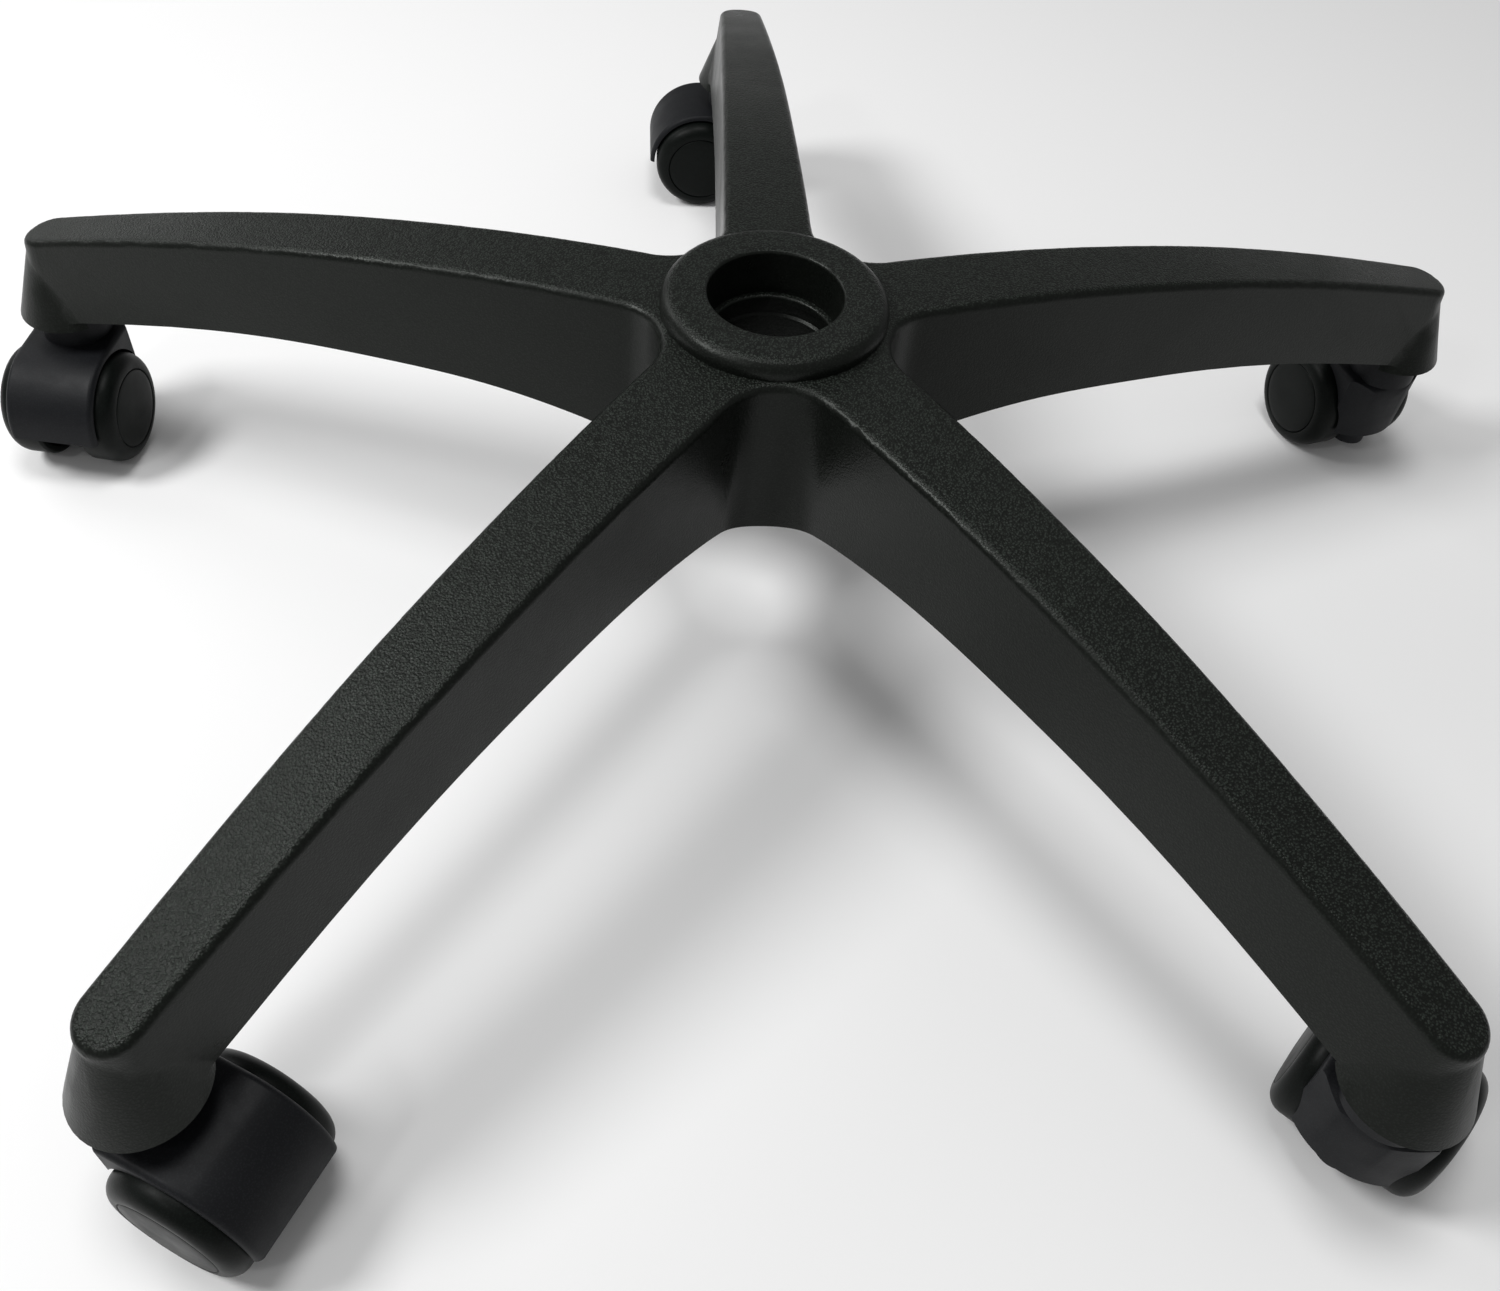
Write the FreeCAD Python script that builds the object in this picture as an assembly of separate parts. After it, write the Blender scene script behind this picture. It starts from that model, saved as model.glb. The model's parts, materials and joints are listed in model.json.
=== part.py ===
"""Office chair five star base: one moulded nylon star on five hooded twin wheel casters.

The frame is in millimetres with +Z up. The origin is on the hub's axis, at the top of the gas
lift bore's straight wall. The rear arm points along +Y. Each arm and caster is modelled along +X
and then turned to its place.
"""
import FreeCAD, Part
import math
import os

from FreeCAD import Vector

os.makedirs("parts", exist_ok=True)

# Star: the first arm's direction about Z, with the others evenly on from it, and the way each
# arm's caster trails
FIRST_ARM_ANGLE = 18.0
TRAIL_ANGLES = {"right": 106.5, "rear": 181.0, "left": 262.0, "front_left": 333.0, "front_right": 48.0}
ARM_STEP = 360.0 / len(TRAIL_ANGLES)
STEM_CIRCLE = 319.5
FLOOR = -155.5

# Star: heights of the arm's top face and lower edge, at shares of the stem circle
TOP_PROFILE = [(0.06, -5.4), (0.19, -6.0), (0.313, -8.4), (0.469, -13.9), (0.595, -20.1),
               (0.782, -32.6), (0.939, -45.7), (1.09, -59.8)]
EDGE_PROFILE = [(0.141, -74.0), (0.172, -70.0), (0.235, -65.2), (0.36, -61.0), (0.5, -62.2),
                (0.61, -64.8), (0.782, -72.8), (0.939, -84.5), (1.09, -96.5)]
FLARE_FILLET = 10.0

# Star: half widths of the arm at its root, middle and tip
ROOT_HALF_WIDTH = 17.5
MID_PLACE = 0.595
MID_HALF_WIDTH_TOP = 14.6
MID_HALF_WIDTH_EDGE = 15.6
TIP_HALF_WIDTH_TOP = 10.9
TIP_HALF_WIDTH_EDGE = 15.0
NOSE_INSET = 3.1
VALLEY_RADIUS = 22.0
TOP_EDGE_RADIUS = 3.2

# Star: walls and ribs of the underside
WALL = 3.2
ROOF = 3.6
RIB = 2.4
RIB_RECESS = 5.0
RIB_CROSSES = 7

# Star: the least run between the arm's sections, and how far they are drawn past its top and edge
SECTION_RUN = 10.0
SECTION_OVERRUN = 12.0

# Hub: collar and gas lift bore
COLLAR_RADIUS = 42.3
COLLAR_TOP = 1.5
COLLAR_SHOULDER = 5.5
COLLAR_FOOT = -8.0
BORE_RADIUS = 25.0
BORE_ROUNDING = 1.5
BORE_LAND = 17.0
LEDGE_RADIUS = 22.5
LEDGE_ROUNDING = 1.2
LEDGE_THICKNESS = 3.0
RELIEF_RADIUS = 24.5
RELIEF_LENGTH = 6.0
THROAT_RADIUS = 23.6
HUB_TUBE_RADIUS = 31.0
HUB_TUBE_RECESS = 6.0

# End boss: flare and stem socket
BOSS_BOTTOM = -90.0
BOSS_BOTTOM_RADIUS = 21.0
BOSS_SLOPE = 0.38
BOSS_HEIGHT = 44.0
SOCKET_TUBE_RADIUS = 9.5
SOCKET_END_GAP = 2.0
CREASE_REACH = 35.0
SHORTEST_CREASE = 5.0

# Stem and grip ring
STEM_RADIUS = 5.5
STEM_LENGTH = 28.0
FLANGE_RADIUS = 9.0
FLANGE_THICKNESS = 1.8
PIVOT_RADIUS = 4.0
PIVOT_LENGTH = 30.0
GROOVE_DEPTH = 1.2
GRIP_RING_LENGTH = 9.0
GRIP_RING_DROP = 14.0
GRIP_RING_SLOT = 2.0
SOCKET_CLEARANCE = 0.05
RUNNING_CLEARANCE = 0.05

# Caster: trail and wheels
TRAIL = 19.0
WHEEL_RADIUS = 25.0
WHEEL_INNER_FACE = 9.3
WHEEL_OUTER_FACE = 26.0
WHEEL_RIM = 3.2
WHEEL_WEB = 3.0
WHEEL_SHOULDER = 6.4
WHEEL_HUB_RADIUS = 6.0
CAP_RADIUS = 17.8
CAP_GROOVE = 0.8
CAP_CROWN = 0.8
AXLE_RADIUS = 3.0
AXLE_REACH = 20.0

# Caster: hood
HOOD_RADIUS = 28.6
WHEEL_GAP = 1.2
HOOD_HALF_WIDTH = 19.6
HOOD_FRONT = 13.4
HOOD_FRONT_ROUNDING = 9.0
HOOD_CORNER_RADIUS = 10.0
HOOD_FRONT_DROP = 3.0
HOOD_EDGE_RADIUS = 2.4
HOOD_WEB = 3.0
NECK_RADIUS = 14.5
NECK_FOOT_RADIUS = 15.2
NECK_GAP = 0.4
STEM_BOSS_RADIUS = 8.0
STEM_BOSS_BOTTOM = 13.0
AXLE_BOSS_RADIUS = 7.5
BODY_GAP = 0.3

ORIGIN = Vector(0, 0, 0)
Y_AXIS = Vector(0, 1, 0)
Z_AXIS = Vector(0, 0, 1)
AXLE_HEIGHT = FLOOR + WHEEL_RADIUS
FAR = 400.0


def face_of(edges):
    """A flat face inside a closed run of edges."""
    return Part.Face(Part.Wire(edges))


def polygon(points):
    """A flat face inside straight sides through the points."""
    return Part.Face(Part.makePolygon(points + [points[0]]))


def turned(shape, angle, centre=ORIGIN):
    """A copy of the shape turned about the vertical through a point."""
    copy = shape.copy()
    copy.rotate(centre, Z_AXIS, angle)
    return copy


def moved(shape, x=0.0, y=0.0, z=0.0):
    """A copy of the shape moved."""
    copy = shape.copy()
    copy.translate(Vector(x, y, z))
    return copy


def fuse(shapes):
    """One shape of all, with the seams between like faces removed."""
    return shapes[0].fuse(shapes[1:]).removeSplitter()


def arm_angles():
    """The arms' directions, in the order of their casters."""
    return [FIRST_ARM_ANGLE + index * ARM_STEP for index in range(len(TRAIL_ANGLES))]


def around(items, centre=ORIGIN):
    """Copies of a shape turned to all five arms."""
    return [turned(items, angle, centre) for angle in arm_angles()]


def turned_outline(points, centre=ORIGIN, angle=360.0):
    """The solid that a half outline, given as radius and height, sweeps about the vertical."""
    corners = [centre + Vector(radius, 0, height) for radius, height in points]
    return polygon(corners).revolve(centre, Z_AXIS, angle)


def profile_edge(profile, drop=0.0):
    """The smooth edge of a profile, lowered by a drop."""
    curve = Part.BSplineCurve()
    curve.interpolate([Vector(share * STEM_CIRCLE, 0, height - drop) for share, height in profile])
    return curve.toShape()


def profile_height(profile, radius):
    """Height of a profile at a radius, read from its smooth curve."""
    line = Part.makeLine(Vector(radius, 0, -FAR), Vector(radius, 0, FAR))
    return profile_edge(profile).distToShape(line)[1][0][0].z


def under_profile(profile, level, drop=0.0):
    """The round space between a turned profile and a level plane below it, its seam behind the hub."""
    edge = profile_edge(profile, drop)
    first, last = edge.valueAt(edge.FirstParameter), edge.valueAt(edge.LastParameter)
    path = [Vector(0, 0, first.z), first]
    tail = [last, Vector(last.x, 0, level), Vector(0, 0, level), path[0]]
    sides = [Part.makeLine(a, b) for a, b in zip(tail, tail[1:])]
    return turned(face_of([Part.makeLine(*path), edge] + sides).revolve(ORIGIN, Z_AXIS, 360), 180)


def root_distance():
    """Where the valley's rounding meets the arm's side, along the arm."""
    return (ROOT_HALF_WIDTH + VALLEY_RADIUS) / math.tan(math.radians(ARM_STEP / 2))


def half_width(distance, middle_width, tip_width):
    """Half width of the arm at a distance from the hub's axis."""
    root, middle, tip = root_distance(), MID_PLACE * STEM_CIRCLE, STEM_CIRCLE - NOSE_INSET
    if distance <= middle:
        return ROOT_HALF_WIDTH + (middle_width - ROOT_HALF_WIDTH) * (distance - root) / (middle - root)
    return middle_width + (tip_width - middle_width) * (distance - middle) / (tip - middle)


def arm_section(distance, inset):
    """Half widths and heights of the arm's section, drawn past its top and edge."""
    top = profile_height(TOP_PROFILE, distance)
    edge = profile_height(EDGE_PROFILE, distance)
    upper = half_width(distance, MID_HALF_WIDTH_TOP, TIP_HALF_WIDTH_TOP) - inset
    lower = half_width(distance, MID_HALF_WIDTH_EDGE, TIP_HALF_WIDTH_EDGE) - inset
    spread = (lower - upper) / (top - edge) * SECTION_OVERRUN
    return upper - spread, top + SECTION_OVERRUN, lower + spread, edge - SECTION_OVERRUN


def arm_walls(inset=0.0):
    """The arm between its drafted side walls, from the hub to the rounded nose."""
    root, tip = root_distance(), STEM_CIRCLE - NOSE_INSET
    places = [share * STEM_CIRCLE for share, _ in TOP_PROFILE]
    wires = []
    for distance in [root] + [x for x in places if root + 2 * SECTION_RUN < x < tip - SECTION_RUN] + [tip]:
        upper, top, lower, bottom = arm_section(distance, inset)
        corners = [Vector(distance, -lower, bottom), Vector(distance, lower, bottom),
                   Vector(distance, upper, top), Vector(distance, -upper, top)]
        wires.append(Part.makePolygon(corners + [corners[0]]))
    nose = turned_outline([(0, bottom), (lower, bottom), (upper, top), (0, top)], Vector(tip, 0, 0))
    return fuse([Part.makeLoft(wires, True, False), nose])


def hub_prism(inset=0.0):
    """The hub's plan with its rounded valleys as an upright prism, one arm's root facing +X."""
    root = root_distance()
    half = ROOT_HALF_WIDTH - inset
    spot = Vector(root, ROOT_HALF_WIDTH + VALLEY_RADIUS, 0)
    deepest = spot * ((spot.Length - VALLEY_RADIUS - inset) / spot.Length)
    valley = Part.Arc(Vector(root, half, 0), deepest,
                      turned(Part.Vertex(root, -half, 0), ARM_STEP).Point).toShape()
    mouth = Part.makeLine(Vector(root, -half, 0), Vector(root, half, 0))
    turns = [index * ARM_STEP for index in range(len(TRAIL_ANGLES))]
    edges = [turned(side, turn) for turn in turns for side in (mouth, valley)]
    return moved(face_of(edges), z=-FAR / 2).extrude(Vector(0, 0, FAR))


def boss_flare(inset=0.0):
    """The flared end boss about the stem's axis."""
    wide = BOSS_BOTTOM_RADIUS - inset
    narrow = wide - BOSS_SLOPE * BOSS_HEIGHT
    top = BOSS_BOTTOM + BOSS_HEIGHT
    return turned_outline([(0, BOSS_BOTTOM), (wide, BOSS_BOTTOM), (narrow, top), (0, top)],
                          Vector(STEM_CIRCLE, 0, 0))


def wedge():
    """The fifth of all round that holds one arm."""
    half = math.radians(ARM_STEP / 2)
    corners = [ORIGIN, Vector(FAR, -FAR * math.tan(half), 0), Vector(FAR, FAR * math.tan(half), 0)]
    return moved(polygon(corners), z=-FAR / 2).extrude(Vector(0, 0, FAR))


def top_edges(solid):
    """Outer edges of the arm's top face, without the two cuts to its neighbours."""
    widest = sorted(solid.Faces, key=lambda face: face.Area)[-5:]
    top = max(widest, key=lambda face: face.CenterOfMass.z)
    kept = []
    for edge in top.Edges:
        middle = edge.valueAt((edge.FirstParameter + edge.LastParameter) / 2)
        on_cut = abs(math.degrees(math.atan2(middle.y, middle.x))) > ARM_STEP / 2 - 0.01
        if not on_cut and middle.Length > HUB_TUBE_RADIUS:
            kept.append(edge)
    return kept


def flare_creases(solid):
    """Edges where the end boss's flare meets the arm's walls and nose."""
    kept = []
    for edge in solid.Edges:
        kinds = {type(face.Surface).__name__ for face in solid.ancestorsOfType(edge, Part.Face)}
        middle = edge.valueAt((edge.FirstParameter + edge.LastParameter) / 2)
        on_wall = kinds <= {"Cone", "BSplineSurface"} and "Cone" in kinds
        above_foot = BOSS_BOTTOM + 1 < middle.z < BOSS_BOTTOM + CREASE_REACH
        if on_wall and above_foot and edge.Length > SHORTEST_CREASE:
            kept.append(edge)
    return kept


def arm_outside():
    """One arm and its share of the hub: the outer form with its rounded edges."""
    walls = fuse([hub_prism().common(wedge()), arm_walls()])
    walls = walls.cut(under_profile(EDGE_PROFILE, -FAR))
    walls = walls.cut(Part.makeCylinder(FAR, FAR, Vector(0, 0, BOSS_BOTTOM - FAR)))
    solid = fuse([walls, boss_flare()])
    solid = solid.common(under_profile(TOP_PROFILE, -FAR)).removeSplitter()
    solid = solid.makeFillet(TOP_EDGE_RADIUS, top_edges(solid))
    return solid.makeFillet(FLARE_FILLET, flare_creases(solid))


def rib_plate(start, end):
    """An upright rib between two points of the plan."""
    run = end - start
    plate = Part.makeBox(run.Length, RIB, FAR, Vector(0, -RIB / 2, -FAR / 2))
    plate.rotate(ORIGIN, Z_AXIS, math.degrees(math.atan2(run.y, run.x)))
    return moved(plate, start.x, start.y)


def ribs():
    """Crossed ribs along the arm and radial ribs round the hub and the stem socket."""
    root, tip = root_distance(), STEM_CIRCLE - SOCKET_TUBE_RADIUS
    pitch = (tip - root) / RIB_CROSSES
    reach = BOSS_BOTTOM_RADIUS
    plates = []
    for index in range(RIB_CROSSES):
        near, far = root + index * pitch, root + (index + 1) * pitch
        for side in (-ROOT_HALF_WIDTH, ROOT_HALF_WIDTH):
            plates.append(rib_plate(Vector(near, -side, 0), Vector(far, side, 0)))
    plates.append(rib_plate(Vector(STEM_CIRCLE, -reach, 0), Vector(STEM_CIRCLE, reach, 0)))
    plates.append(rib_plate(Vector(tip, 0, 0), Vector(STEM_CIRCLE + reach, 0, 0)))
    for turn in (-ARM_STEP / 2, 0, ARM_STEP / 2):
        plates.append(turned(rib_plate(ORIGIN, Vector(root + RIB, 0, 0)), turn))
    lattice = plates[0].fuse(plates[1:])
    return lattice.cut(under_profile(EDGE_PROFILE, -FAR, -RIB_RECESS))


def arm_hollow():
    """The space under one arm and its share of the hub, between walls, ribs and tubes."""
    mouth = Part.makeCylinder(BOSS_BOTTOM_RADIUS - WALL, WALL, Vector(STEM_CIRCLE, 0, BOSS_BOTTOM - WALL))
    space = fuse([hub_prism(WALL).common(wedge()), arm_walls(WALL), boss_flare(WALL), mouth])
    space = space.common(under_profile(TOP_PROFILE, -FAR, ROOF))
    socket_tube = Part.makeCylinder(SOCKET_TUBE_RADIUS, FAR, Vector(STEM_CIRCLE, 0, -FAR / 2))
    hub_tube = Part.makeCylinder(HUB_TUBE_RADIUS, FAR, Vector(0, 0, hub_tube_bottom()))
    return space.cut([ribs(), socket_tube, hub_tube])


def hub_tube_bottom():
    """Height of the hub tube's lower end, recessed inside the walls."""
    return EDGE_PROFILE[0][1] + HUB_TUBE_RECESS


def ring_edges(solid, radius, height):
    """Round edges about the hub's axis at a radius and height."""
    return [edge for edge in solid.Edges if type(edge.Curve).__name__ == "Circle"
            and abs(edge.Curve.Radius - radius) < 1e-4 and abs(edge.Curve.Center.z - height) < 1e-4]


def collar():
    """The raised ring on top of the hub, with its rounded shoulder."""
    disc = Part.makeCylinder(COLLAR_RADIUS, COLLAR_TOP - COLLAR_FOOT, Vector(0, 0, COLLAR_FOOT))
    return disc.makeFillet(COLLAR_SHOULDER, ring_edges(disc, COLLAR_RADIUS, COLLAR_TOP))


def bore():
    """The stepped hole for the gas lift: rounded mouth, land, retaining ledge, relief and throat."""
    ledge = -BORE_LAND
    under_ledge = ledge - LEDGE_THICKNESS
    relief = under_ledge - RELIEF_LENGTH
    step = RELIEF_RADIUS - THROAT_RADIUS
    mouth, above = BORE_RADIUS + 2 * BORE_ROUNDING, COLLAR_TOP + BORE_ROUNDING
    outline = [(0, above), (mouth, above), (mouth, COLLAR_TOP), (BORE_RADIUS, COLLAR_TOP),
               (BORE_RADIUS, ledge), (LEDGE_RADIUS, ledge), (LEDGE_RADIUS, under_ledge), (RELIEF_RADIUS, under_ledge),
               (RELIEF_RADIUS, relief), (THROAT_RADIUS, relief - step), (THROAT_RADIUS, -FAR), (0, -FAR)]
    hole = turned_outline(outline)
    hole = hole.makeFillet(BORE_ROUNDING, ring_edges(hole, BORE_RADIUS, COLLAR_TOP))
    return hole.makeFillet(LEDGE_ROUNDING, ring_edges(hole, LEDGE_RADIUS, ledge))


def arm():
    """One arm with its share of the hub, its hollow underside and its blind stem socket."""
    socket = Part.makeCylinder(STEM_RADIUS + SOCKET_CLEARANCE, STEM_LENGTH + SOCKET_END_GAP,
                               Vector(STEM_CIRCLE, 0, BOSS_BOTTOM))
    solid = arm_outside().fuse(collar().common(wedge()))
    return solid.cut([arm_hollow(), bore(), socket])


def star_base():
    """The whole moulding, its arms joined round the hub."""
    return fuse(around(arm()))


def caster_stem():
    """The steel stem: grip groove above, flange at the arm and pivot in the hood."""
    ring_top = GRIP_RING_DROP + GRIP_RING_LENGTH / 2
    ring_foot = GRIP_RING_DROP - GRIP_RING_LENGTH / 2
    groove = STEM_RADIUS - GROOVE_DEPTH
    nose = GROOVE_DEPTH
    outline = [(0, -FLANGE_THICKNESS - PIVOT_LENGTH), (PIVOT_RADIUS, -FLANGE_THICKNESS - PIVOT_LENGTH),
               (PIVOT_RADIUS, -FLANGE_THICKNESS), (FLANGE_RADIUS, -FLANGE_THICKNESS), (FLANGE_RADIUS, 0),
               (STEM_RADIUS, 0), (STEM_RADIUS, ring_foot), (groove, ring_foot), (groove, ring_top),
               (STEM_RADIUS, ring_top), (STEM_RADIUS, STEM_LENGTH - nose), (STEM_RADIUS - nose, STEM_LENGTH),
               (0, STEM_LENGTH)]
    return turned_outline(outline, Vector(0, 0, BOSS_BOTTOM))


def grip_ring():
    """The split spring ring in the stem's groove."""
    foot = BOSS_BOTTOM + GRIP_RING_DROP - GRIP_RING_LENGTH / 2
    inner, outer = STEM_RADIUS - GROOVE_DEPTH, STEM_RADIUS + SOCKET_CLEARANCE
    ring = turned_outline([(inner, 0), (outer, 0), (outer, GRIP_RING_LENGTH), (inner, GRIP_RING_LENGTH)],
                          Vector(0, 0, foot))
    return ring.cut(Part.makeBox(outer + 1, GRIP_RING_SLOT, GRIP_RING_LENGTH,
                                 Vector(0, -GRIP_RING_SLOT / 2, foot)))


def across(radius, near, far):
    """A round bar along the axle between two distances from the caster's middle."""
    return Part.makeCylinder(radius, far - near, Vector(TRAIL, near, AXLE_HEIGHT), Y_AXIS)


def hood_side():
    """The hood's side view: round tail and crown, and the upright front."""
    top = AXLE_HEIGHT + HOOD_RADIUS
    slant = HOOD_RADIUS * math.sqrt(0.5)
    corner = HOOD_CORNER_RADIUS * (1 - math.sqrt(0.5))
    foot = AXLE_HEIGHT - HOOD_FRONT_DROP
    tail, crown = Vector(TRAIL + HOOD_RADIUS, 0, AXLE_HEIGHT), Vector(TRAIL, 0, top)
    bend = Vector(HOOD_CORNER_RADIUS - HOOD_FRONT, 0, top)
    drop = Vector(-HOOD_FRONT, 0, top - HOOD_CORNER_RADIUS)
    front, under = Vector(-HOOD_FRONT, 0, foot), Vector(TRAIL, 0, foot)
    return face_of([Part.Arc(tail, Vector(TRAIL + slant, 0, AXLE_HEIGHT + slant), crown).toShape(),
                    Part.makeLine(crown, bend),
                    Part.Arc(bend, Vector(-HOOD_FRONT + corner, 0, top - corner), drop).toShape(),
                    Part.makeLine(drop, front), Part.makeLine(front, under),
                    Part.makeLine(under, Vector(TRAIL, 0, AXLE_HEIGHT)),
                    Part.makeLine(Vector(TRAIL, 0, AXLE_HEIGHT), tail)])


def hood_rims(solid):
    """The hood's outer edges on its two side faces."""
    kept = []
    for edge in solid.Edges:
        box = edge.BoundBox
        on_side = box.YLength < 1e-3 and abs(abs(box.YMin) - HOOD_HALF_WIDTH) < 1e-3
        outside = box.XMin < -HOOD_FRONT + 1e-3 or box.ZMax > AXLE_HEIGHT + HOOD_RADIUS - 1e-3
        level_foot = box.ZLength < 1e-3 and box.ZMax < AXLE_HEIGHT
        if on_side and outside and not level_foot:
            kept.append(edge)
    return kept


def hood_plan():
    """The hood's plan as an upright prism: straight sides and a rounded front."""
    tail, side = TRAIL + HOOD_RADIUS + 1, HOOD_HALF_WIDTH + 1
    start = HOOD_FRONT_ROUNDING * side ** 2 / HOOD_HALF_WIDTH ** 2 - HOOD_FRONT
    corners = [Vector(start, side, 0), Vector(tail, side, 0), Vector(tail, -side, 0),
               Vector(start, -side, 0)]
    sides = [Part.makeLine(a, b) for a, b in zip(corners, corners[1:])]
    front = Part.Arc(corners[-1], Vector(-HOOD_FRONT, 0, 0), corners[0]).toShape()
    return moved(face_of(sides + [front]), z=-FAR).extrude(Vector(0, 0, FAR))


def caster_hood():
    """The moulded hood with its web, swivel neck, stem boss and axle boss."""
    hood = moved(hood_side(), y=-HOOD_HALF_WIDTH).extrude(Vector(0, 2 * HOOD_HALF_WIDTH, 0))
    hood = hood.makeFillet(HOOD_EDGE_RADIUS, hood_rims(hood)).common(hood_plan())
    space = WHEEL_RADIUS + WHEEL_GAP
    hood = hood.cut([across(space, HOOD_WEB / 2, FAR), across(space, -FAR, -HOOD_WEB / 2)])
    neck_top = BOSS_BOTTOM - NECK_GAP
    neck_foot = AXLE_HEIGHT + (space + HOOD_RADIUS) / 2
    neck = turned_outline([(0, neck_foot), (NECK_FOOT_RADIUS, neck_foot), (NECK_RADIUS, neck_top),
                           (0, neck_top)])
    boss_foot = AXLE_HEIGHT - STEM_BOSS_BOTTOM
    boss = Part.makeCylinder(STEM_BOSS_RADIUS, neck_top - boss_foot, Vector(0, 0, boss_foot))
    reach = WHEEL_INNER_FACE - BODY_GAP
    solid = fuse([hood, neck, boss, across(AXLE_BOSS_RADIUS, -reach, reach)])
    flange_seat = BOSS_BOTTOM - FLANGE_THICKNESS - BODY_GAP
    pivot_end = BOSS_BOTTOM - FLANGE_THICKNESS - PIVOT_LENGTH - BODY_GAP
    counterbore = Part.makeCylinder(FLANGE_RADIUS + BODY_GAP, FAR, Vector(0, 0, flange_seat))
    pivot = Part.makeCylinder(PIVOT_RADIUS + RUNNING_CLEARANCE, FAR, Vector(0, 0, pivot_end))
    return solid.cut([counterbore, pivot, across(AXLE_RADIUS, -FAR, FAR)])


def caster_axle():
    """The steel axle pin, held in the hood's boss."""
    return across(AXLE_RADIUS, -AXLE_REACH, AXLE_REACH)


def caster_wheel():
    """One moulded wheel: rounded tread, closed outer face with a cap line, open inner side and hub."""
    bore, blind = AXLE_RADIUS + RUNNING_CLEARANCE, AXLE_REACH + BODY_GAP
    inner, outer = WHEEL_INNER_FACE, WHEEL_OUTER_FACE
    web, rim = outer - WHEEL_WEB, WHEEL_RADIUS - WHEEL_RIM
    lead = WHEEL_RIM / 3
    shoulder = WHEEL_SHOULDER * (1 - math.sqrt(0.5))
    half_groove = CAP_GROOVE / 2

    def spot(radius, width):
        return Vector(TRAIL + radius, width, AXLE_HEIGHT)

    run = [spot(0, blind), spot(bore, blind), spot(bore, inner), spot(WHEEL_HUB_RADIUS, inner),
           spot(WHEEL_HUB_RADIUS, web), spot(rim, web), spot(rim, inner), spot(WHEEL_RADIUS - lead, inner),
           spot(WHEEL_RADIUS, inner + lead), spot(WHEEL_RADIUS, outer - WHEEL_SHOULDER)]
    face = [spot(WHEEL_RADIUS - WHEEL_SHOULDER, outer), spot(CAP_RADIUS + half_groove, outer),
            spot(CAP_RADIUS, outer - CAP_GROOVE), spot(CAP_RADIUS - half_groove, outer)]
    crown, middle = spot(CAP_RADIUS / 3, outer + CAP_CROWN), spot(0, outer + CAP_CROWN)
    round_over = Part.Arc(run[-1], spot(WHEEL_RADIUS - shoulder, outer - shoulder), face[0]).toShape()
    dome = Part.Arc(face[-1], spot(CAP_RADIUS * 2 / 3, outer + CAP_CROWN * 0.75), crown).toShape()
    sides = [Part.makeLine(a, b) for a, b in zip(run, run[1:])]
    rings = [Part.makeLine(a, b) for a, b in zip(face, face[1:])]
    cap = [Part.makeLine(crown, middle), Part.makeLine(middle, run[0])]
    outline = face_of(sides + [round_over] + rings + [dome] + cap)
    return outline.revolve(Vector(TRAIL, 0, AXLE_HEIGHT), Y_AXIS, 360)


def casters():
    """All pieces of the five casters by name, each where it stands."""
    stem, ring, hood, axle, wheel = caster_stem(), grip_ring(), caster_hood(), caster_axle(), caster_wheel()
    other = turned(wheel, 180, Vector(TRAIL, 0, AXLE_HEIGHT))
    pieces = {}
    for place, arm_angle in zip(TRAIL_ANGLES, arm_angles()):
        angle = math.radians(arm_angle)
        spot = Vector(STEM_CIRCLE * math.cos(angle), STEM_CIRCLE * math.sin(angle), 0)
        for name, shape in (("stem", stem), ("grip_ring", ring), ("hood", hood), ("axle", axle),
                            ("wheel_a", wheel), ("wheel_b", other)):
            pieces[f"caster_{place}_{name}"] = moved(turned(shape, TRAIL_ANGLES[place]), spot.x, spot.y)
    return pieces


def main():
    """Writes each piece to its own file."""
    pieces = {"star_base": star_base()}
    pieces.update(casters())
    for name, shape in pieces.items():
        shape.exportStep(f"parts/{name}.step")
        print(name, "valid" if shape.isValid() else "NOT VALID", len(shape.Solids), round(shape.Volume))


if __name__ == "__main__":
    main()
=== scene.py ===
"""Looks of the office chair five star base: grained black nylon on hooded twin wheel casters."""
import json
import logging
import math
from dataclasses import dataclass
from enum import Enum

import bpy
import numpy as np
from mathutils import Matrix, Vector


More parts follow.
